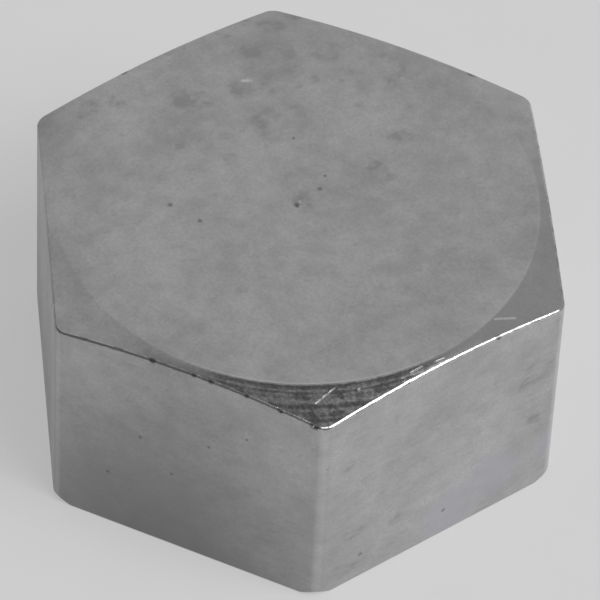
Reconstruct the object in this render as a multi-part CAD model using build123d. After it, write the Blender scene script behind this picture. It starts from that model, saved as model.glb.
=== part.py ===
from build123d import *
import os
from math import cos, radians, tan

# Hexagonal pipe end cap, turned from hexagon bar and plated.
# It stands on the rim of its mouth: the origin is the centre of that rim and +Z runs
# to the closed end. The flats face +X and every 60 degrees from there.
# All lengths are in millimetres and all angles in degrees.

# Outside
across_flats = 25.0          # spanner size of the hexagon
cap_height = 13.2            # mouth rim to closed face
corner_round = 0.75          # radius of the six upright corners
face_circle_dia = 23.9       # flat circle that the closed end's chamfer leaves
face_chamfer_angle = 15.0    # slope of that chamfer, down from the closed face
mouth_circle_dia = 28.0      # circle that the mouth end's corner chamfer leaves
mouth_chamfer_angle = 48.0   # slope of that chamfer, up from the rim
edge_break = 0.12            # radius that softens the closed end's outer edges
mouth_break = 0.08           # radius that softens the mouth end's outer edges
lip_break = 0.10             # radius that softens the rim of the countersink

# Centre mark that the lathe left on the closed face
mark_dia = 0.55
mark_depth = 0.10

# Pipe thread of the mouth, half-inch parallel: the bore is cut at the thread's crests
thread_major_dia = 20.955
thread_pitch = 1.814
thread_height_per_pitch = 0.640327

# Inside
end_wall = 3.0               # metal left between the bore and the closed face
lead_in_clearance = 0.25     # how far the mouth's countersink is outside the thread, on radius
lead_in_angle = 45.0
relief_width = 2.4           # run-out groove between the thread and the end wall
relief_clearance = 0.20      # how far that groove is outside the thread, on radius
relief_entry_angle = 45.0
relief_round = 0.40          # tool radius left at the foot of the bore

# Worked out from the sizes above
flat_radius = across_flats / 2
corner_radius = flat_radius / cos(radians(30))
face_radius = face_circle_dia / 2
mouth_radius = mouth_circle_dia / 2
thread_major_radius = thread_major_dia / 2
crest_radius = thread_major_radius - thread_height_per_pitch * thread_pitch
bore_depth = cap_height - end_wall
lead_in_radius = thread_major_radius + lead_in_clearance
lead_in_depth = (lead_in_radius - crest_radius) * tan(radians(lead_in_angle))
relief_radius = thread_major_radius + relief_clearance
relief_start = bore_depth - relief_width
relief_full = relief_start + (relief_radius - crest_radius) * tan(radians(relief_entry_angle))


def turned(points, rounds=()):
    """Solid of revolution about Z from (radius, height) points; rounds holds (point, radius) pairs."""
    profile = make_face(Polyline(*points, close=True))
    for spot, radius in rounds:
        corner = profile.vertices().sort_by_distance((spot[0], spot[1], 0))[0]
        profile = fillet(corner, radius)
    upright = Plane.XZ.location * profile
    return revolve(upright, Axis.Z)


def hexagon_bar():
    """Length of hexagon bar with rounded upright corners."""
    section = RegularPolygon(flat_radius, 6, major_radius=False, rotation=30)
    section = fillet(section.vertices(), corner_round)
    return extrude(section, cap_height)


def turned_outside():
    """Cone at the closed end and cone at the mouth, which cut the bar's corners."""
    mouth_rise = (corner_radius - mouth_radius) * tan(radians(mouth_chamfer_angle))
    face_drop = (corner_radius - face_radius) * tan(radians(face_chamfer_angle))
    return turned([
        (0, 0),
        (mouth_radius, 0),
        (corner_radius, mouth_rise),
        (corner_radius, cap_height - face_drop),
        (face_radius, cap_height),
        (0, cap_height),
    ])


def soften_edges(body):
    """Rounds the closed end's chamfer along the flats and corners, and the mouth end's edges."""
    lowest = cap_height - (corner_radius - face_radius) * tan(radians(face_chamfer_angle))
    highest = cap_height - (flat_radius - face_radius) * tan(radians(face_chamfer_angle)) / 2
    rim = body.edges().filter_by_position(Axis.Z, lowest, highest)
    body = fillet(rim, edge_break)
    foot = body.edges().filter_by_position(Axis.Z, 0, cap_height / 4)
    return fillet(foot, mouth_break)


def centre_mark():
    """Shallow cone at the centre of the closed face."""
    return turned([(0, cap_height), (mark_dia / 2, cap_height), (0, cap_height - mark_depth)])


def threaded_bore():
    """Blind bore: countersink, thread at its crests, run-out groove and flat end wall."""
    foot = (relief_radius, bore_depth)
    return turned([
        (0, 0),
        (lead_in_radius, 0),
        (crest_radius, lead_in_depth),
        (crest_radius, relief_start),
        (relief_radius, relief_full),
        foot,
        (0, bore_depth),
    ], rounds=[(foot, relief_round)])


def soften_lip(body):
    """Rounds the rim of the countersink, the smallest full circle in the plane of the rim."""
    arcs = body.edges().filter_by(GeomType.CIRCLE).filter_by_position(Axis.Z, 0, 0)
    circles = arcs.filter_by(lambda arc: arc.is_closed)
    return fillet(circles.sort_by(SortBy.RADIUS)[0], lip_break)


def hex_cap():
    """The whole cap, one piece."""
    body = hexagon_bar() & turned_outside()
    body = soften_edges(body)
    body = body - centre_mark() - threaded_bore()
    return soften_lip(body)


os.makedirs("parts", exist_ok=True)
export_step(hex_cap(), "parts/hex_cap.step")
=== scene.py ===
from math import cos, pi, radians, sin, tan

import bmesh
import bpy
from mathutils import Matrix, Vector


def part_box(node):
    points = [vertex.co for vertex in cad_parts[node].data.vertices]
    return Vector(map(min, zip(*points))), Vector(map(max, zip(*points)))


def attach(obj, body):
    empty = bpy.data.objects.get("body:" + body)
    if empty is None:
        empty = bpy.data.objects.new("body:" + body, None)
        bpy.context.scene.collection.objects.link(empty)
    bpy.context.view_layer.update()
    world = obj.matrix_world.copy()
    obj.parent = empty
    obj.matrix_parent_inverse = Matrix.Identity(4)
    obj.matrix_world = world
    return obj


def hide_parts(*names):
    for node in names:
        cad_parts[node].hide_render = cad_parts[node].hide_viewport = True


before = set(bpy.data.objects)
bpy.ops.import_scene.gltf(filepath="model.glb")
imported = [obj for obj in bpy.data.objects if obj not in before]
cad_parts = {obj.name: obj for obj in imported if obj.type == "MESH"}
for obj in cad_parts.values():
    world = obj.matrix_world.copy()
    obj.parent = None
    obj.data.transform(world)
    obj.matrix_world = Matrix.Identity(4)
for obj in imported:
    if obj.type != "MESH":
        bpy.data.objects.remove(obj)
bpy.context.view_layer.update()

# A hexagonal pipe end cap of plated brass, standing on the rim of its threaded mouth.
# Lengths are in metres. The flats face +X and every 60 degrees, and +Z is the closed end.
MM = 0.001

# Outside of the cap
ACROSS_FLATS = 25.0 * MM
CORNER_ROUND = 0.75 * MM
FACE_CIRCLE = 23.9 * MM
FACE_CHAMFER = radians(15)
MOUTH_CIRCLE = 28.0 * MM
MOUTH_CHAMFER = radians(48)
EDGE_BREAK = 0.19 * MM
MOUTH_EDGE_SETBACK = 0.08 * MM
FACE_EDGE_SETBACK = 0.05 * MM

# Centre mark: a shallow dish with a rounded pip in it. The pip's shoulder is a share of its
# radius, and it and the pip's top lie below the face by shares of the mark's depth
MARK_DIAMETER = 1.0 * MM
MARK_DEPTH = 0.06 * MM
PIP_DIAMETER = 0.40 * MM
PIP_SHOULDER = 0.4
PIP_SHOULDER_DEPTH = 0.1
PIP_TOP_DEPTH = 0.05

# Nicks in the closed end's outer edge: the side that the flat faces, in degrees, then the
# place from the flat's middle, the radius and the depth in millimetres
NICKS = [
    (-60, -2.0, 0.22, 0.05),
    (-60, 0.2, 0.16, 0.06),
    (-60, 1.1, 0.18, 0.06),
    (-60, 3.0, 0.16, 0.06),
    (-60, 4.8, 0.20, 0.09),
    (-60, 6.6, 0.30, 0.11),
    (0, -2.3, 0.12, 0.05),
    (0, 3.1, 0.20, 0.05),
    (180, 2.0, 0.30, 0.08),
    (120, -4.0, 0.35, 0.09),
]
# The left corner of the closed end is knocked off: the same four values
KNOCKED_OFF = (180, 7.22, 12.0, 0.45)
# How uneven a nick is, as a share of its depth
NICK_UNEVENNESS = 0.2

# Mouth and thread
THREAD_MAJOR = 20.955 * MM
THREAD_PITCH = 1.814 * MM
THREAD_HEIGHT = 0.640327 * THREAD_PITCH
TIP_ROUND = 0.137329 * THREAD_PITCH
FLANK_ANGLE = radians(27.5)
END_WALL = 3.0 * MM
LEAD_IN_CLEARANCE = 0.25 * MM
RELIEF_WIDTH = 2.4 * MM
RELIEF_CLEARANCE = 0.20 * MM
RELIEF_ROUND = 0.40 * MM
CREST_OVERLAP = 0.03 * MM
BELOW_RIM = 0.5 * MM

# How finely the forms are divided, and how close points have to be to become one
TURNED_STEPS = 120
CORNER_STEPS = 10
EDGE_STEPS = 5
NARROW_EDGE_STEPS = 2
THREAD_ROUND_STEPS = 4
MERGE_GAP = 0.002 * MM
CUT_MERGE_GAP = 0.006 * MM

# An edge is sharp past the first angle, and shading is smooth up to the second
SHARP_ANGLE = radians(25)
SMOOTH_ANGLE = radians(18)
FLAT_FACE_WEIGHT = 90

low_corner, high_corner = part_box("hex_cap")
CAP_HEIGHT = high_corner.z
FLAT_RADIUS = ACROSS_FLATS / 2
CORNER_RADIUS = FLAT_RADIUS / cos(radians(30))
LEAD_IN_RADIUS = THREAD_MAJOR / 2 + LEAD_IN_CLEARANCE
CREST_RADIUS = THREAD_MAJOR / 2 - THREAD_HEIGHT
BORE_DEPTH = CAP_HEIGHT - END_WALL
RELIEF_START = BORE_DEPTH - RELIEF_WIDTH


# Modelling helpers

def deselect_all():
    bpy.ops.object.select_all(action="DESELECT")


def make_active(piece):
    deselect_all()
    piece.select_set(True)
    bpy.context.view_layer.objects.active = piece


def new_piece(name):
    piece = bpy.context.active_object
    piece.name = name
    piece.data.name = name
    return piece


def select_edges(piece, wanted):
    """Selects just the edges that a test accepts, in edit mode."""
    bpy.ops.mesh.select_mode(type="EDGE")
    bpy.ops.mesh.select_all(action="DESELECT")
    mesh = bmesh.from_edit_mesh(piece.data)
    for edge in mesh.edges:
        edge.select_set(wanted(edge))
    bmesh.update_edit_mesh(piece.data)


def is_upright(edge):
    low, high = sorted(vertex.co.z for vertex in edge.verts)
    return high - low > CAP_HEIGHT / 2


def is_sharp(edge):
    return len(edge.link_faces) == 2 and edge.calc_face_angle() > SHARP_ANGLE


def is_chamfer_edge(edge):
    """Outer edge of the closed end's chamfer, all round the hexagon."""
    return is_sharp(edge) and all(vertex.co.z > CAP_HEIGHT * 0.8 for vertex in edge.verts)


def is_mouth_edge(edge):
    """Outer edge of the mouth end, along the flats and across the corners."""
    return is_sharp(edge) and all(vertex.co.z < CAP_HEIGHT * 0.1 for vertex in edge.verts)


def is_face_circle(edge):
    """Circle between the closed face and its chamfer."""
    return all(abs(vertex.co.z - CAP_HEIGHT) < 0.001 * MM
               and abs(vertex.co.xy.length - FACE_CIRCLE / 2) < 0.01 * MM
               for vertex in edge.verts)


def close_up(gap=MERGE_GAP):
    """Merges doubles and points all faces outwards, in edit mode."""
    bpy.ops.mesh.select_all(action="SELECT")
    bpy.ops.mesh.remove_doubles(threshold=gap)
    bpy.ops.mesh.normals_make_consistent(inside=False)


def draw_outline(name, points):
    """Draws a chain of edges through (radius, height) points in the XZ plane, left in edit mode."""
    deselect_all()
    bpy.ops.mesh.primitive_plane_add(size=MM, location=(0, 0, 0))
    piece = new_piece(name)
    bpy.ops.object.mode_set(mode="EDIT")
    bpy.ops.mesh.select_mode(type="VERT")
    bpy.ops.mesh.merge(type="CENTER")
    bpy.ops.mesh.select_all(action="SELECT")
    radius, height = points[0]
    bpy.ops.transform.translate(value=(radius, 0, height))
    for start, end in zip(points, points[1:]):
        step = (end[0] - start[0], 0, end[1] - start[1])
        bpy.ops.mesh.extrude_vertices_move(TRANSFORM_OT_translate={"value": step})
    return piece


def lathe(name, points):
    """Solid turned about Z from (radius, height) points that start and end on the axis."""
    piece = draw_outline(name, points)
    bpy.ops.mesh.select_all(action="SELECT")
    bpy.ops.mesh.spin(steps=TURNED_STEPS, angle=2 * pi, center=(0, 0, 0), axis=(0, 0, 1))
    close_up()
    bpy.ops.mesh.select_all(action="SELECT")
    bpy.ops.transform.rotate(
        value=pi / TURNED_STEPS, orient_axis="Z", center_override=(0, 0, 0))
    bpy.ops.object.mode_set(mode="OBJECT")
    return piece


def cut(piece, tool, operation):
    """Cuts a piece with a tool solid, or keeps what both share, and removes the tool."""
    make_active(piece)
    boolean = piece.modifiers.new("cut", "BOOLEAN")
    boolean.operation = operation
    boolean.solver = "EXACT"
    boolean.object = tool
    bpy.ops.object.modifier_apply(modifier=boolean.name)
    bpy.data.objects.remove(tool)


# The cap

def hexagon_bar():
    """Length of hexagon bar with rounded upright corners."""
    deselect_all()
    bpy.ops.mesh.primitive_cylinder_add(
        vertices=6, radius=CORNER_RADIUS, depth=CAP_HEIGHT, location=(0, 0, CAP_HEIGHT / 2))
    bar = new_piece("cap")
    bpy.ops.object.transform_apply(location=True, rotation=True, scale=True)
    bpy.ops.object.mode_set(mode="EDIT")
    select_edges(bar, is_upright)
    setback = CORNER_ROUND * tan(radians(30))
    bpy.ops.mesh.bevel(offset=setback, offset_type="OFFSET", segments=CORNER_STEPS, profile=0.5)
    close_up()
    bpy.ops.object.mode_set(mode="OBJECT")
    return bar


def turned_outside():
    """Cone at the closed end and cone at the mouth, which cut the bar's corners."""
    mouth_rise = (CORNER_RADIUS - MOUTH_CIRCLE / 2) * tan(MOUTH_CHAMFER)
    face_drop = (CORNER_RADIUS - FACE_CIRCLE / 2) * tan(FACE_CHAMFER)
    return lathe("turned outside", [
        (0, 0),
        (MOUTH_CIRCLE / 2, 0),
        (CORNER_RADIUS, mouth_rise),
        (CORNER_RADIUS, CAP_HEIGHT - face_drop),
        (FACE_CIRCLE / 2, CAP_HEIGHT),
        (0, CAP_HEIGHT),
    ])


def round_edges(piece, wanted, setback, steps):
    """Rounds the edges that a test accepts, in edit mode."""
    select_edges(piece, wanted)
    bpy.ops.mesh.bevel(offset=setback, offset_type="OFFSET", segments=steps, profile=0.5)


def soften_outside(cap):
    """Rounds the chamfer's outer edges, the mouth end's outer edges and the face circle."""
    make_active(cap)
    bpy.ops.object.mode_set(mode="EDIT")
    close_up(gap=CUT_MERGE_GAP)
    chamfer_setback = EDGE_BREAK * tan((radians(90) - FACE_CHAMFER) / 2)
    round_edges(cap, is_chamfer_edge, chamfer_setback, EDGE_STEPS)
    round_edges(cap, is_mouth_edge, MOUTH_EDGE_SETBACK, NARROW_EDGE_STEPS)
    round_edges(cap, is_face_circle, FACE_EDGE_SETBACK, NARROW_EDGE_STEPS)
    close_up()
    bpy.ops.object.mode_set(mode="OBJECT")


def centre_mark():
    """Shallow dish with a pip in it, which the lathe left at the centre of the closed face."""
    foot = PIP_DIAMETER / 2
    wall = MARK_DIAMETER / 2 - foot
    return lathe("centre mark", [
        (0, CAP_HEIGHT + MARK_DEPTH),
        (foot + 2 * wall, CAP_HEIGHT + MARK_DEPTH),
        (foot, CAP_HEIGHT - MARK_DEPTH),
        (foot * PIP_SHOULDER, CAP_HEIGHT - MARK_DEPTH * PIP_SHOULDER_DEPTH),
        (0, CAP_HEIGHT - MARK_DEPTH * PIP_TOP_DEPTH),
    ])


def on_edge(side, along):
    """Place on the closed end's outer edge, from the middle of the flat that faces a side."""
    out = Vector((FLAT_RADIUS, along, 0))
    height = CAP_HEIGHT - (out.length - FACE_CIRCLE / 2) * tan(FACE_CHAMFER)
    return Matrix.Rotation(radians(side), 3, "Z") @ out + Vector((0, 0, height))


def cut_nick(cap, place, size, depth, seed):
    """Small uneven dent in the outside: a rough ball sinks in by a depth, from the side."""
    outward = Vector((place[0], place[1], place[2] / 2)).normalized()
    deselect_all()
    bpy.ops.mesh.primitive_ico_sphere_add(
        subdivisions=2, radius=size, location=Vector(place) + outward * (size - depth))
    ball = new_piece("nick")
    bpy.ops.object.transform_apply(location=True, rotation=True, scale=True)
    bpy.ops.object.mode_set(mode="EDIT")
    bpy.ops.mesh.select_all(action="SELECT")
    bpy.ops.transform.vertex_random(offset=depth * NICK_UNEVENNESS, normal=0.5, seed=seed)
    bpy.ops.object.mode_set(mode="OBJECT")
    cut(cap, ball, "DIFFERENCE")


def plain_bore():
    """Countersink, bore at the thread's crests, run-out groove and flat end wall."""
    groove = THREAD_MAJOR / 2 + RELIEF_CLEARANCE
    outline = [
        (0, -BELOW_RIM),
        (LEAD_IN_RADIUS + BELOW_RIM, -BELOW_RIM),
        (CREST_RADIUS, LEAD_IN_RADIUS - CREST_RADIUS),
        (CREST_RADIUS, RELIEF_START),
        (groove, RELIEF_START + groove - CREST_RADIUS),
    ]
    for step in range(EDGE_STEPS + 1):
        lean = radians(90) * step / EDGE_STEPS
        outline.append((groove - RELIEF_ROUND * (1 - cos(lean)),
                        BORE_DEPTH - RELIEF_ROUND * (1 - sin(lean))))
    outline.append((0, BORE_DEPTH))
    return lathe("bore", outline)


def thread_turn(foot):
    """Points of one rounded thread form, from crest to crest, starting at height foot."""
    lean = radians(90) - FLANK_ANGLE
    points = []
    half = THREAD_PITCH / 2
    turns = [lean * step / THREAD_ROUND_STEPS for step in range(THREAD_ROUND_STEPS + 1)]
    for turn in turns:
        points.append((TIP_ROUND * (1 - cos(turn)), TIP_ROUND * sin(turn)))
    for turn in reversed(turns):
        points.append((THREAD_HEIGHT - TIP_ROUND * (1 - cos(turn)), half - TIP_ROUND * sin(turn)))
    mirrored = [(depth, THREAD_PITCH - rise) for depth, rise in reversed(points[1:-1])]
    crest = CREST_RADIUS - CREST_OVERLAP
    return [(crest + depth, foot + rise) for depth, rise in points + mirrored]


def trim_flat(height, upwards):
    """Cuts the mesh off square at a height and caps it, in edit mode."""
    bpy.ops.mesh.select_all(action="SELECT")
    bpy.ops.mesh.bisect(
        plane_co=(0, 0, height), plane_no=(0, 0, 1 if upwards else -1),
        use_fill=True, clear_outer=True, threshold=0.0001 * MM)


def thread_tap():
    """Solid helix that cuts the thread, right-handed, from below the rim into the groove."""
    foot = -3 * THREAD_PITCH
    turns = int((RELIEF_START - foot) / THREAD_PITCH) + 3
    points = []
    for turn in range(turns):
        points += thread_turn(foot + turn * THREAD_PITCH)
    tap = draw_outline("thread tap", points)
    bpy.ops.object.mode_set(mode="OBJECT")
    screw = tap.modifiers.new("helix", "SCREW")
    screw.axis = "Z"
    screw.angle = 2 * pi
    screw.screw_offset = THREAD_PITCH
    screw.steps = TURNED_STEPS
    screw.render_steps = TURNED_STEPS
    screw.use_merge_vertices = True
    screw.merge_threshold = MERGE_GAP
    bpy.ops.object.modifier_apply(modifier=screw.name)
    bpy.ops.object.mode_set(mode="EDIT")
    close_up()
    trim_flat(-THREAD_PITCH / 2, upwards=False)
    trim_flat(RELIEF_START + RELIEF_WIDTH / 2, upwards=True)
    close_up()
    bpy.ops.object.mode_set(mode="OBJECT")
    return tap


def shade_softly(cap):
    """Smooth shading that keeps the flats flat."""
    make_active(cap)
    bpy.ops.object.shade_smooth_by_angle(angle=SMOOTH_ANGLE)
    weighted = cap.modifiers.new("flat faces stay flat", "WEIGHTED_NORMAL")
    weighted.keep_sharp = True
    weighted.weight = FLAT_FACE_WEIGHT
    bpy.ops.object.modifier_apply(modifier=weighted.name)


def make_cap():
    cap = hexagon_bar()
    cut(cap, turned_outside(), "INTERSECT")
    soften_outside(cap)
    cut(cap, centre_mark(), "DIFFERENCE")
    for seed, (side, along, size, depth) in enumerate(NICKS + [KNOCKED_OFF]):
        cut_nick(cap, on_edge(side, along * MM), size * MM, depth * MM, seed)
    cut(cap, plain_bore(), "DIFFERENCE")
    cut(cap, thread_tap(), "DIFFERENCE")
    shade_softly(cap)
    return cap


# Node helpers

def put(tree, socket, source):
    """Links an output to an input, or sets the input to a plain value."""
    if isinstance(source, bpy.types.NodeSocket):
        tree.links.new(source, socket)
    else:
        socket.default_value = source


def maths(tree, operation, *sources):
    node = tree.nodes.new("ShaderNodeMath")
    node.operation = operation
    for socket, source in zip(node.inputs, sources):
        put(tree, socket, source)
    return node.outputs["Value"]


def add(tree, first, second):
    return maths(tree, "ADD", first, second)


def subtract(tree, first, second):
    return maths(tree, "SUBTRACT", first, second)


def times(tree, first, second):
    return maths(tree, "MULTIPLY", first, second)


def larger(tree, first, second):
    return maths(tree, "MAXIMUM", first, second)


def smaller(tree, first, second):
    return maths(tree, "MINIMUM", first, second)


def vectors(tree, operation, *sources):
    node = tree.nodes.new("ShaderNodeVectorMath")
    node.operation = operation
    sockets = [node.inputs[0], node.inputs["Scale"]] if operation == "SCALE" else node.inputs
    for socket, source in zip(sockets, sources):
        put(tree, socket, source)
    if operation in {"DOT_PRODUCT", "DISTANCE", "LENGTH"}:
        return node.outputs["Value"]
    return node.outputs["Vector"]


def part_of(tree, vector, axis):
    """One coordinate of a vector."""
    node = tree.nodes.new("ShaderNodeSeparateXYZ")
    put(tree, node.inputs["Vector"], vector)
    return node.outputs[axis]


def distance_from_axis(tree, place):
    return vectors(tree, "LENGTH", vectors(tree, "MULTIPLY", place, (1.0, 1.0, 0.0)))


def fade(tree, value, start, end, at_start=0.0, at_end=1.0):
    """Smooth change from one value to another as the input goes from start to end."""
    node = tree.nodes.new("ShaderNodeMapRange")
    node.interpolation_type = "SMOOTHSTEP"
    for label, source in (("Value", value), ("From Min", start), ("From Max", end),
                          ("To Min", at_start), ("To Max", at_end)):
        put(tree, node.inputs[label], source)
    return node.outputs["Result"]


def noise(tree, place, scale, detail=2.0, roughness=0.5):
    node = tree.nodes.new("ShaderNodeTexNoise")
    for label, source in (("Vector", place), ("Scale", scale),
                          ("Detail", detail), ("Roughness", roughness)):
        put(tree, node.inputs[label], source)
    return node.outputs["Fac"]


def wobble(tree, place, scale, amount):
    """Moves a place about with a noise, so that outlines drawn around it turn uneven."""
    node = tree.nodes.new("ShaderNodeTexNoise")
    put(tree, node.inputs["Vector"], place)
    node.inputs["Scale"].default_value = scale
    node.inputs["Detail"].default_value = 3
    centred = vectors(tree, "SUBTRACT", node.outputs["Color"], (0.5, 0.5, 0.5))
    return vectors(tree, "ADD", place, vectors(tree, "SCALE", centred, amount))


def blend_colors(tree, share, first, second, mode="MIX"):
    node = tree.nodes.new("ShaderNodeMix")
    node.data_type = "RGBA"
    node.blend_type = mode
    put(tree, node.inputs["Factor"], share)
    for socket, source in ((node.inputs[6], first), (node.inputs[7], second)):
        put(tree, socket, (*source, 1) if isinstance(source, tuple) else source)
    return node.outputs[2]


def new_group(name, inputs, outputs):
    """Empty node group; returns it with its input and output nodes."""
    group = bpy.data.node_groups.new(name, "ShaderNodeTree")
    for label, kind in inputs:
        group.interface.new_socket(label, in_out="INPUT", socket_type=kind)
    for label, kind in outputs:
        group.interface.new_socket(label, in_out="OUTPUT", socket_type=kind)
    return group, group.nodes.new("NodeGroupInput"), group.nodes.new("NodeGroupOutput")


def use_group(tree, group, **sources):
    node = tree.nodes.new("ShaderNodeGroup")
    node.node_tree = group
    for label, source in sources.items():
        put(tree, node.inputs[label], source)
    return node.outputs


# Shared effects. Places are in millimetres inside the groups.

# Stretches a place along the way the cap was wiped, so that streaks lie that way
WIPE_STRETCH = (0.45, 0.3, 1.0)


def clouds_group():
    """Uneven plating: broad clouds, smudges and a fine grain, around one half."""
    group, given, result = new_group(
        "uneven plating", [("Place", "NodeSocketVector")],
        [("Clouds", "NodeSocketFloat"), ("Smudges", "NodeSocketFloat"),
         ("Grain", "NodeSocketFloat")])
    place = given.outputs["Place"]
    wiped = vectors(group, "MULTIPLY", place, WIPE_STRETCH)
    broad = noise(group, place, 0.16, detail=3)
    middle = noise(group, place, 0.9, detail=4, roughness=0.6)
    streaks = noise(group, wiped, 2.6, detail=3, roughness=0.6)
    both = add(group, times(group, broad, 0.45), times(group, middle, 0.35))
    put(group, result.inputs["Clouds"], add(group, both, times(group, streaks, 0.20)))
    put(group, result.inputs["Smudges"], noise(group, wiped, 4.5, detail=3, roughness=0.65))
    put(group, result.inputs["Grain"], noise(group, place, 6.0, detail=3, roughness=0.7))
    return group


def spots_group(name, spots, uneven, scale):
    """How deep a place lies inside the nearest of some spots: 0 outside, 1 at a centre."""
    group, given, result = new_group(
        name, [("Place", "NodeSocketVector")], [("Depth", "NodeSocketFloat")])
    place = wobble(group, given.outputs["Place"], scale, uneven)
    nearest = 1.0
    for centre, radius in spots:
        apart = maths(group, "DIVIDE", vectors(group, "DISTANCE", place, centre), radius)
        nearest = smaller(group, apart, nearest)
    put(group, result.inputs["Depth"], subtract(group, 1.0, nearest))
    return group


def rings_group(name, rings, uneven, scale):
    """How deep a place lies inside the nearest of some rings: 0 outside, 1 on a ring's line."""
    group, given, result = new_group(
        name, [("Place", "NodeSocketVector")], [("Depth", "NodeSocketFloat")])
    place = wobble(group, given.outputs["Place"], scale, uneven)
    nearest = 1.0
    for centre, radius, half_width in rings:
        offset = subtract(group, vectors(group, "DISTANCE", place, centre), radius)
        apart = maths(group, "DIVIDE", maths(group, "ABSOLUTE", offset), half_width)
        nearest = smaller(group, apart, nearest)
    put(group, result.inputs["Depth"], subtract(group, 1.0, nearest))
    return group


def scratches_group(name, scratches):
    """Mask of straight scratches, each from one point to another with a half width; it also draws a
    painted highlight.
    """
    group, given, result = new_group(
        name, [("Place", "NodeSocketVector")], [("Mask", "NodeSocketFloat")])
    place = wobble(group, given.outputs["Place"], 0.8, 0.12)
    mask = 0.0
    for start, end, half_width in scratches:
        run = Vector(end) - Vector(start)
        offset = vectors(group, "SUBTRACT", place, start)
        along = vectors(group, "DOT_PRODUCT", offset, tuple(run.normalized()))
        along = smaller(group, larger(group, along, 0.0), run.length)
        foot = vectors(group, "SCALE", tuple(run.normalized()), along)
        apart = vectors(group, "DISTANCE", offset, foot)
        mask = larger(group, fade(group, apart, half_width, half_width * 0.3), mask)
    broken = fade(group, noise(group, given.outputs["Place"], 4.0), 0.25, 0.45)
    put(group, result.inputs["Mask"], times(group, mask, broken))
    return group


def turning_group():
    """Height of the fine rings that a lathe tool leaves, uneven in depth and spacing."""
    group, given, result = new_group(
        "turning lines", [("Place", "NodeSocketVector")], [("Height", "NodeSocketFloat")])
    ring = group.nodes.new("ShaderNodeTexNoise")
    ring.noise_dimensions = "1D"
    put(group, ring.inputs["W"], distance_from_axis(group, given.outputs["Place"]))
    ring.inputs["Scale"].default_value = 4.0
    ring.inputs["Detail"].default_value = 2
    patches = noise(group, given.outputs["Place"], 1.3, detail=3)
    put(group, result.inputs["Height"],
        times(group, ring.outputs["Fac"], fade(group, patches, 0.3, 0.6, 0.5, 1.0)))
    return group


def edge_group():
    """Masks of the narrow rounded edges at both ends and of the rounded upright corners."""
    group, given, result = new_group(
        "worn edges", [("Facing", "NodeSocketVector"), ("Place", "NodeSocketVector")],
        [("Ends", "NodeSocketFloat"), ("Corners", "NodeSocketFloat")])
    facing = given.outputs["Facing"]
    rise = maths(group, "ABSOLUTE", part_of(group, facing, "Z"))
    band = times(group, fade(group, rise, 0.05, 0.3), fade(group, rise, 0.95, 0.85))
    broken = fade(group, noise(group, given.outputs["Place"], 1.6, detail=3), 0.36, 0.52)
    put(group, result.inputs["Ends"], times(group, band, broken))
    turn = maths(group, "ARCTAN2", part_of(group, facing, "Y"), part_of(group, facing, "X"))
    off_flat = maths(group, "COSINE", times(group, turn, 6.0))
    put(group, result.inputs["Corners"],
        times(group, fade(group, off_flat, 0.98, -1.0), fade(group, rise, 0.3, 0.1)))
    return group


# Where the marks lie, in millimetres from the centre of the rim, with their radii
FACE_HEIGHT = CAP_HEIGHT / MM
WATER_STAINS = [
    ((-11.8, 3.7, FACE_HEIGHT), 0.6),
    ((-11.2, 6.2, FACE_HEIGHT), 1.0),
    ((-11.0, -3.8, FACE_HEIGHT), 0.5),
    ((-10.4, -3.4, FACE_HEIGHT), 0.5),
    ((-11.2, -5.4, FACE_HEIGHT), 0.7),
    ((-8.6, 0.0, FACE_HEIGHT), 0.9),
    ((-9.2, -0.8, FACE_HEIGHT), 0.85),
    ((-8.0, 2.3, FACE_HEIGHT), 1.0),
    ((-7.4, 3.1, FACE_HEIGHT), 0.9),
    ((-10.0, 4.2, FACE_HEIGHT), 0.9),
    ((-6.6, 5.0, FACE_HEIGHT), 0.5),
    ((-6.5, 5.8, FACE_HEIGHT), 0.45),
    ((-5.6, 5.7, FACE_HEIGHT), 0.3),
    ((-6.2, 7.7, FACE_HEIGHT), 0.55),
    ((-4.4, 9.1, FACE_HEIGHT), 0.75),
    ((-5.6, 1.5, FACE_HEIGHT), 0.65),
    ((-3.9, 6.5, FACE_HEIGHT), 0.4),
    ((-3.1, 7.2, FACE_HEIGHT), 0.4),
    ((-1.0, 7.0, FACE_HEIGHT), 0.8),
    ((-4.3, -1.1, FACE_HEIGHT), 0.55),
    ((-5.9, -0.4, FACE_HEIGHT), 0.5),
    ((-6.5, -2.6, FACE_HEIGHT), 0.35),
    ((0.0, 4.7, FACE_HEIGHT), 0.5),
    ((1.1, 4.9, FACE_HEIGHT), 0.4),
    ((0.0, 0.25, FACE_HEIGHT), 0.8),
    ((-11.2, -4.9, FACE_HEIGHT), 0.9),
    ((-12.4, 5.2, 12.8), 0.8),
    ((-11.3, 7.6, 12.8), 0.6),
    ((-4.9, 13.2, 12.7), 0.5),
    ((12.5, 5.2, 8.4), 0.8),
    ((12.5, 5.9, 5.3), 0.6),
    ((12.5, -5.8, 9.0), 0.7),
    ((12.5, -5.1, 3.6), 0.8),
    ((12.5, -5.6, 1.2), 0.9),
    ((12.5, -2.6, 3.0), 0.6),
]
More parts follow.
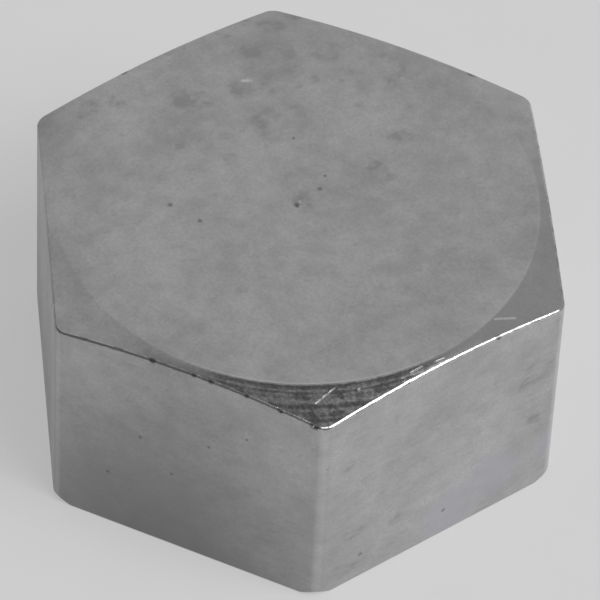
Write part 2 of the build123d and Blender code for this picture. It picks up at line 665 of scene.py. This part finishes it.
# Each ring also has the half width of its line
WATER_RINGS = [
    ((-5.0, 2.5, FACE_HEIGHT), 1.2, 0.6),
    ((-8.0, 7.3, FACE_HEIGHT), 0.55, 0.55),
    ((-8.9, 4.6, FACE_HEIGHT), 1.1, 0.7),
    ((-5.2, 8.7, FACE_HEIGHT), 1.2, 0.6),
    ((12.5, 5.9, 8.9), 0.7, 0.5),
]
# Pits, and one spot of painted shade on the centre mark's pip: centre and radius
PITS_AND_PIP_SHADE = [
    ((-3.4, -5.35, FACE_HEIGHT), 0.19),
    ((-1.7, -4.73, FACE_HEIGHT), 0.19),
    ((-0.21, 1.47, FACE_HEIGHT), 0.21),
    # Painted shade on the near side of the centre mark's pip
    ((0.0, -0.10, FACE_HEIGHT), 0.26),
    ((-3.8, 2.4, FACE_HEIGHT), 0.14),
    ((-0.8, 2.2, FACE_HEIGHT), 0.12),
    ((12.5, 0.48, 1.74), 0.18),
    ((12.5, -4.62, 1.71), 0.20),
    ((12.5, -7.0, 9.6), 0.12),
]
# Pits of the front left flat: place from its middle, height and radius
FRONT_LEFT_PITS = [
    (-2.55, 7.16, 0.18),
    (-4.26, 3.73, 0.18),
    (1.15, 8.3, 0.15),
    (3.14, 9.86, 0.14),
    (-0.8, 5.3, 0.15),
]
# Scratches and bright specks, and a painted highlight on the centre mark's pip: both ends and half
# the width
BRIGHT_SCRATCHES_AND_PIP_GLINT = [
    ((11.07, -6.79, 12.92), (10.88, -5.55, 13.13), 0.06),
    ((12.11, -1.92, 13.12), (12.11, -1.26, 13.14), 0.08),
    ((12.19, -0.54, 13.13), (12.22, -0.03, 13.13), 0.05),
    ((11.55, 3.55, 13.17), (11.92, 4.50, 12.99), 0.10),
    ((11.58, -4.64, 13.06), (11.58, -4.60, 13.06), 0.10),
    ((-8.50, 2.62, FACE_HEIGHT), (-8.32, 2.90, FACE_HEIGHT), 0.16),
    # Painted highlight on the centre mark's pip
    ((-0.08, 0.13, FACE_HEIGHT), (-0.12, 0.17, FACE_HEIGHT), 0.11),
]
# The front corner of the closed end took the most knocks; its chamfer is rough with turning marks,
# and its colour is darkened overall as painted shade
KNOCKED_AND_SHADED_CORNER = [((12.4, -7.2, 12.6), 8.5)]
# Broad soft patches of painted shade, darker low on the front left and left flats and at the left
# corner, and a bluish film low on the front right flat
FRONT_LEFT_PAINTED_SHADE = (-1.5, 0.5, 13.0)
PAINTED_SHADE_PATCHES = [((-8.0, -14.0, -2.0), 17.0), ((-15.5, -8.9, 12.9), 7.0)]
BLUISH_FILM = [((12.5, 0.9, 1.4), 2.2), ((12.5, 3.4, 2.6), 2.2), ((12.5, 7.2, 3.0), 1.4)]
# Which way the left flat and the right corner face; the chamfer towards the right corner gets
# painted shade
LEFT_SIDE = (-0.5, -0.866, 0.0)
SHADED_CHAMFER_SIDE = (0.866, 0.5, 0.0)

# Tones of the plating, and how strongly each one covers what is under it
DARK_PLATE = (0.36, 0.36, 0.362)
LIGHT_PLATE = (0.50, 0.50, 0.503)
# Colour of the water stains, also used as painted shade on the chamfer towards the right corner
STAIN_AND_SHADE_COLOR = (0.27, 0.27, 0.272)
STAIN_SHARE = 0.8
# Painted shade on the chamfer towards the right corner
RIGHT_CHAMFER_SHADE_SHARE = 0.42
# Painted shade: the colour that darkens the front left flat low down, the left flat and the left
# corner
PAINTED_SHADE_COLOR = (0.19, 0.19, 0.19)
PAINTED_SHADE_SHARE = 0.78
# Painted shade over the whole left flat, in the same colour
LEFT_FLAT_SHADE_SHARE = 0.5
BLUISH_COLOR = (0.44, 0.44, 0.49)
BLUISH_SHARE = 0.6
# Dark colour of the pitting, also used as painted shade on the pip and in the nicks
PIT_AND_SHADE_COLOR = (0.14, 0.14, 0.14)
PIT_AND_SHADE_SHARE = 0.75
# Painted shade: how dark the dents of the nicks are coloured
NICK_SHADE_SHARE = 0.85
# Exposed metal in scratches and worn edges, and painted highlights on the end edges, the upright
# corners and the face circle's line
BARE_AND_HIGHLIGHT_COLOR = (0.72, 0.72, 0.715)
END_WEAR_AND_HIGHLIGHT_SHARE = 0.5
CORNER_WEAR_AND_HIGHLIGHT_SHARE = 0.18
# Exposed metal in scratches, and the painted highlight on the pip
SCRATCH_AND_GLINT_SHARE = 0.6
THIN_PLATE = (0.50, 0.43, 0.31)
THIN_SHARE = 0.4

# Gloss: the sides are less metallic than the ends, and the left flat and the stains less still
SIDE_METAL = 0.72
END_METAL = 0.93
LEFT_FLAT_METAL_LOSS = 0.4
STAIN_METAL_LOSS = 0.1
DARK_PLATE_ROUGHNESS = 0.33
LIGHT_PLATE_ROUGHNESS = 0.27
STAIN_ROUGHNESS = 0.06
WORN_END_POLISH = 0.06

# Relief, as shares of the bump's depth: on plain plating and on the rough front chamfer
BUMP_DEPTH = 0.02 * MM
GRAIN_RELIEF = (0.16, 0.3)
TURNING_RELIEF = (0.04, 0.6)
RAGGED_RELIEF = 0.9
PIT_RELIEF = 0.9
SCRATCH_RELIEF = 0.25

# Where the inside begins, in millimetres: the mouth's radius and the height of its ceiling
MOUTH_RADIUS = LEAD_IN_RADIUS / MM
CEILING = BORE_DEPTH / MM


# The plating

def on_front_left(along, height):
    """Place on the front left flat, from its middle."""
    turn = radians(-60)
    half = FLAT_RADIUS / MM
    return (half * cos(turn) - along * sin(turn), half * sin(turn) + along * cos(turn), height)


def find_marks(tree, place):
    """Masks of the marks on the cap, each 0 away from them, by name."""
    pits_and_pip_shade = PITS_AND_PIP_SHADE + [(on_front_left(along, height), radius)
                   for along, height, radius in FRONT_LEFT_PITS]
    # Painted shade patches: low on the front left and left flats and at the left corner
    along, height, radius = FRONT_LEFT_PAINTED_SHADE
    shade_patches = [(on_front_left(along, height), radius)] + PAINTED_SHADE_PATCHES
    nicks = [(tuple(on_edge(side, along * MM) / MM), size * 1.1)
             for side, along, size, depth in NICKS]
    groups = {
        "stain": spots_group("water stains", WATER_STAINS, 0.9, 1.0),
        "ring": rings_group("water rings", WATER_RINGS, 0.7, 0.9),
        "pit_and_pip_shade": spots_group("pits_and_pip_shade", pits_and_pip_shade, 0.10, 5.0),
        "knock": spots_group("knocked and shaded corner", KNOCKED_AND_SHADED_CORNER, 0.6, 0.8),
        "painted_shade": spots_group("painted shade patches", shade_patches, 2.0, 0.3),
        "nick": spots_group("nicks", nicks, 0.15, 4.0),
        "blue": spots_group("bluish film", BLUISH_FILM, 1.0, 0.5),
        "scratch_and_glint": scratches_group("bright scratches and pip glint", BRIGHT_SCRATCHES_AND_PIP_GLINT),
        "turning": turning_group(),
    }
    return {mark: use_group(tree, group, Place=place)[0] for mark, group in groups.items()}


def find_zones(tree, place, facing, marks):
    """Masks of the cap's own surfaces and edges, by name."""
    radius = distance_from_axis(tree, place)
    level = maths(tree, "ABSOLUTE", part_of(tree, facing, "Z"))
    worn = use_group(tree, edge_group(), Facing=facing, Place=place)
    leftward = vectors(tree, "DOT_PRODUCT", facing, LEFT_SIDE)
    rightward = vectors(tree, "DOT_PRODUCT", facing, SHADED_CHAMFER_SIDE)
    from_circle = maths(tree, "ABSOLUTE", subtract(tree, radius, FACE_CIRCLE / 2 / MM))

    chamfer = times(tree, fade(tree, level, 0.93, 0.95), fade(tree, level, 0.995, 0.985))
    outside = fade(tree, radius, MOUTH_RADIUS + 0.2, MOUTH_RADIUS + 0.4)
    ends = times(tree, worn["Ends"], outside)
    bore = fade(tree, radius, MOUTH_RADIUS + 0.1, MOUTH_RADIUS - 0.1)
    below = fade(tree, part_of(tree, place, "Z"), CEILING + 0.15, CEILING + 0.05)
    return {
        "level": level,
        "rough shaded chamfer": times(tree, chamfer, fade(tree, marks["knock"], 0.0, 0.45)),
        "right chamfer": times(tree, chamfer, fade(tree, rightward, 0.14, 0.22)),
        "face circle": times(tree, fade(tree, from_circle, 0.12, 0.04),
                             fade(tree, level, 0.9, 0.95)),
        "left flat": fade(tree, leftward, 0.85, 0.97),
        "ends": ends,
        "worn highlit ends": times(tree, ends, fade(tree, leftward, 0.45, 0.25)),
        "corners": worn["Corners"],
        "inside": times(tree, bore, below),
    }


def find_stained(tree, plating, marks):
    """Mask of the water stains and rings, broken up, and of faint smudges between them."""
    drawn = larger(tree, fade(tree, marks["stain"], 0.0, 0.55),
                   fade(tree, marks["ring"], 0.0, 1.0, 0.0, 0.7))
    patchy = fade(tree, plating["Clouds"], 0.60, 0.46, 0.3, 1.0)
    broken = fade(tree, plating["Smudges"], 0.62, 0.40, 0.35, 1.0)
    drawn = times(tree, drawn, times(tree, patchy, broken))
    return larger(tree, drawn, fade(tree, plating["Smudges"], 0.42, 0.30, 0.0, 0.35))


def find_bare_and_highlights(tree, marks, zones):
    """Mask of exposed metal and painted highlight: worn end edges, lightened as painted highlight
    where they don't face left, the upright corners and the face circle's line near the front corner
    as painted highlights, and scratches.
    """
    # Painted highlight, with some wear, on the end edges that don't face left, and painted
    # highlight on the upright corners
    bare_and_highlit = larger(tree, times(tree, zones["worn highlit ends"], END_WEAR_AND_HIGHLIGHT_SHARE),
                  times(tree, zones["corners"], CORNER_WEAR_AND_HIGHLIGHT_SHARE))
    near_knock = fade(tree, marks["knock"], 0.0, 0.5, 0.03, 0.3)
    # Painted highlight on the face circle's line near the front corner
    bare_and_highlit = larger(tree, bare_and_highlit, times(tree, zones["face circle"], near_knock))
    bare_and_highlit = larger(tree, bare_and_highlit, times(tree, marks["scratch_and_glint"], SCRATCH_AND_GLINT_SHARE))
    return times(tree, bare_and_highlit, fade(tree, marks["nick"], 0.3, 0.0))


def plating_color(tree, plating, marks, zones, stained):
    """Cloudy grey under stains, the bluish film, painted shade low on the flats and on the
    chamfers, the front chamfer's turning marks, pitting, painted shade on the pip and in the nicks,
    and exposed metal with painted highlights.
    """
    color = blend_colors(tree, fade(tree, plating["Clouds"], 0.3, 0.7), DARK_PLATE, LIGHT_PLATE)
    grain = fade(tree, plating["Grain"], 0.3, 0.7, 0.92, 1.05)
    color = blend_colors(tree, 1.0, color, grain, "MULTIPLY")

    def cover(share, tone):
        return blend_colors(tree, share, color, tone)

    color = cover(times(tree, stained, STAIN_SHARE), STAIN_AND_SHADE_COLOR)
    # Painted shade, darker low on the front left and left flats and at the left corner
    color = cover(fade(tree, marks["painted_shade"], 0.0, 0.9, 0.0, PAINTED_SHADE_SHARE), PAINTED_SHADE_COLOR)
    color = cover(fade(tree, marks["blue"], 0.0, 0.6, 0.0, BLUISH_SHARE), BLUISH_COLOR)
    # Painted shade on the chamfer towards the right corner
    color = cover(times(tree, zones["right chamfer"], RIGHT_CHAMFER_SHADE_SHARE), STAIN_AND_SHADE_COLOR)
    # Painted shade over the whole left flat
    color = cover(times(tree, zones["left flat"], LEFT_FLAT_SHADE_SHARE), PAINTED_SHADE_COLOR)

    # Turning marks and speckle on the front chamfer, which also darken it overall as painted shade
    speckle = fade(tree, plating["Grain"], 0.38, 0.66, 0.55, 0.85)
    lines = fade(tree, marks["turning"], 0.26, 0.52, 0.48, 0.98)
    shaded_chamfer = blend_colors(tree, 1.0, color, times(tree, speckle, lines), "MULTIPLY")
    color = cover(zones["rough shaded chamfer"], shaded_chamfer)

    # Pits, and painted shade on the near side of the centre mark's pip
    color = cover(fade(tree, marks["pit_and_pip_shade"], 0.0, 0.9, 0.0, PIT_AND_SHADE_SHARE), PIT_AND_SHADE_COLOR)
    # Painted shade in the dents of the nicks
    color = cover(fade(tree, marks["nick"], 0.0, 0.6, 0.0, NICK_SHADE_SHARE), PIT_AND_SHADE_COLOR)
    # Exposed metal and painted highlights
    color = cover(find_bare_and_highlights(tree, marks, zones), BARE_AND_HIGHLIGHT_COLOR)
    return cover(times(tree, zones["inside"], THIN_SHARE), THIN_PLATE)


def plating_roughness(tree, plating, zones, stained):
    rough = fade(tree, plating["Clouds"], 0.35, 0.65, DARK_PLATE_ROUGHNESS, LIGHT_PLATE_ROUGHNESS)
    rough = add(tree, rough, times(tree, stained, STAIN_ROUGHNESS))
    return subtract(tree, rough, times(tree, zones["worn highlit ends"], WORN_END_POLISH))


def plating_metallic(tree, zones, stained):
    metal = fade(tree, zones["level"], 0.1, 0.5, SIDE_METAL, END_METAL)
    metal = subtract(tree, metal, times(tree, stained, STAIN_METAL_LOSS))
    return subtract(tree, metal, times(tree, zones["left flat"], LEFT_FLAT_METAL_LOSS))


def plating_height(tree, plating, marks, zones):
    """Grain and turned lines, ragged worn ends, and sunken pitting and scratches, which also sink
    the painted shade and painted highlight on the pip.
    """
    rough = zones["rough shaded chamfer"]
    grain = times(tree, plating["Grain"], fade(tree, rough, 0.0, 1.0, *GRAIN_RELIEF))
    lines = times(tree, marks["turning"], fade(tree, rough, 0.0, 1.0, *TURNING_RELIEF))
    ragged = times(tree, plating["Smudges"], times(tree, zones["ends"], RAGGED_RELIEF))
    height = add(tree, add(tree, grain, lines), ragged)
    height = subtract(tree, height, fade(tree, marks["pit_and_pip_shade"], 0.0, 0.9, 0.0, PIT_RELIEF))
    return subtract(tree, height, times(tree, marks["scratch_and_glint"], SCRATCH_RELIEF))


def make_plating():
    """Dull grey plating: cloudy, water stained, pitted and scratched, with turned chamfers, and
    with painted shade and painted highlights in its colour.
    """
    material = bpy.data.materials.new("plated brass")
    material.use_nodes = True
    tree = material.node_tree
    shader = tree.nodes["Principled BSDF"]
    where = tree.nodes.new("ShaderNodeTexCoord")
    place = vectors(tree, "SCALE", where.outputs["Object"], 1 / MM)

    plating = use_group(tree, clouds_group(), Place=place)
    marks = find_marks(tree, place)
    zones = find_zones(tree, place, where.outputs["Normal"], marks)
    stained = find_stained(tree, plating, marks)
    put(tree, shader.inputs["Base Color"], plating_color(tree, plating, marks, zones, stained))
    put(tree, shader.inputs["Roughness"], plating_roughness(tree, plating, zones, stained))
    put(tree, shader.inputs["Metallic"], plating_metallic(tree, zones, stained))

    bump = tree.nodes.new("ShaderNodeBump")
    bump.inputs["Distance"].default_value = BUMP_DEPTH
    bump.inputs["Strength"].default_value = 1.0
    put(tree, bump.inputs["Height"], plating_height(tree, plating, marks, zones))
    put(tree, shader.inputs["Normal"], bump.outputs["Normal"])
    return material


# Floor, light and camera

FLOOR_SIZE = 3.0
FLOOR_GAP = 0.02 * MM
FLOOR_TONE = 0.604
# How far the floor's own tone replaces its lit one for the camera and in the metal
FLOOR_EVENNESS = 0.7
FLOOR_GRAIN = 300.0

LAMP_DISTANCE = 0.6
# The studio room is dim but for one broad bright side; angles are in degrees
ROOM_LEVEL = 0.12
WINDOW_LEVEL = 0.585
WINDOW_AZIMUTH = 153
WINDOW_ELEVATION = 25
WINDOW_FADE_START = 44
WINDOW_FADE_END = 54

CAMERA_SPOT = Vector((150.66, -115.50, 212.93)) * MM
CAMERA_AIM = Vector((0.529, 0.021, 6.60)) * MM
CAMERA_ROLL = radians(3.03)
CAMERA_LENS = 334.3
SENSOR_WIDTH = 36.0


def direction(azimuth, elevation):
    """Unit vector towards an azimuth and elevation in degrees."""
    turn, rise = radians(azimuth), radians(elevation)
    return Vector((cos(turn) * cos(rise), sin(turn) * cos(rise), sin(rise)))


def make_floor_material():
    """Pale floor that shows the camera and the metal an even tone and keeps a soft shadow."""
    material = bpy.data.materials.new("pale floor")
    material.use_nodes = True
    tree = material.node_tree
    shader = tree.nodes["Principled BSDF"]
    shader.inputs["Roughness"].default_value = 0.9
    shader.inputs["Specular IOR Level"].default_value = 0.0
    where = tree.nodes.new("ShaderNodeTexCoord")
    speckle = noise(tree, where.outputs["Object"], FLOOR_GRAIN)
    tone = fade(tree, speckle, 0.3, 0.7, FLOOR_TONE * 0.99, FLOOR_TONE * 1.01)
    put(tree, shader.inputs["Base Color"], tone)
    plain = tree.nodes.new("ShaderNodeEmission")
    plain.inputs["Color"].default_value = (FLOOR_TONE, FLOOR_TONE, FLOOR_TONE, 1)
    rays = tree.nodes.new("ShaderNodeLightPath")
    seen = larger(tree, rays.outputs["Is Camera Ray"], rays.outputs["Is Glossy Ray"])
    seen = larger(tree, seen, rays.outputs["Is Transmission Ray"])
    mix = tree.nodes.new("ShaderNodeMixShader")
    put(tree, mix.inputs["Fac"], times(tree, seen, FLOOR_EVENNESS))
    put(tree, mix.inputs[1], shader.outputs["BSDF"])
    put(tree, mix.inputs[2], plain.outputs["Emission"])
    put(tree, tree.nodes["Material Output"].inputs["Surface"], mix.outputs["Shader"])
    return material


def make_floor():
    deselect_all()
    bpy.ops.mesh.primitive_plane_add(size=FLOOR_SIZE, location=(0, 0, -FLOOR_GAP))
    floor = new_piece("floor")
    floor.data.materials.append(make_floor_material())


def area_lamp(name, azimuth, elevation, size, power):
    """Square lamp that faces the cap from a direction in degrees."""
    lamp = bpy.data.lights.new(name, "AREA")
    lamp.shape = "SQUARE"
    lamp.size = size
    lamp.energy = power
    holder = bpy.data.objects.new(name, lamp)
    bpy.context.scene.collection.objects.link(holder)
    out = direction(azimuth, elevation)
    holder.location = out * LAMP_DISTANCE
    holder.rotation_euler = out.to_track_quat("Z", "Y").to_euler()


def make_world():
    """Dim studio room with one broad bright side, behind the cap on the left."""
    world = bpy.data.worlds.new("studio")
    world.use_nodes = True
    tree = world.node_tree
    where = tree.nodes.new("ShaderNodeTexCoord")
    towards = tuple(direction(WINDOW_AZIMUTH, WINDOW_ELEVATION))
    nearness = vectors(tree, "DOT_PRODUCT", where.outputs["Generated"], towards)
    level = fade(tree, nearness, cos(radians(WINDOW_FADE_END)), cos(radians(WINDOW_FADE_START)),
                 ROOM_LEVEL, WINDOW_LEVEL)
    put(tree, tree.nodes["Background"].inputs["Color"], level)
    bpy.context.scene.world = world


def make_camera():
    data = bpy.data.cameras.new("camera")
    data.sensor_width = SENSOR_WIDTH
    data.lens = CAMERA_LENS
    data.clip_start = 10 * MM
    data.clip_end = 20
    camera = bpy.data.objects.new("camera", data)
    bpy.context.scene.collection.objects.link(camera)
    level = (CAMERA_SPOT - CAMERA_AIM).to_track_quat("Z", "Y").to_matrix()
    camera.matrix_world = (Matrix.Translation(CAMERA_SPOT) @ level.to_4x4()
                           @ Matrix.Rotation(CAMERA_ROLL, 4, "Z"))
    bpy.context.scene.camera = camera


cap = make_cap()
cap.data.materials.clear()
cap.data.materials.append(make_plating())
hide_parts("hex_cap")
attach(cap, "root")

make_floor()
make_world()
make_camera()
area_lamp("fill lamp", azimuth=15, elevation=58, size=0.35, power=2.6)
area_lamp("side lamp", azimuth=32, elevation=38, size=0.34, power=1.7)
bpy.context.scene.view_settings.view_transform = "Standard"
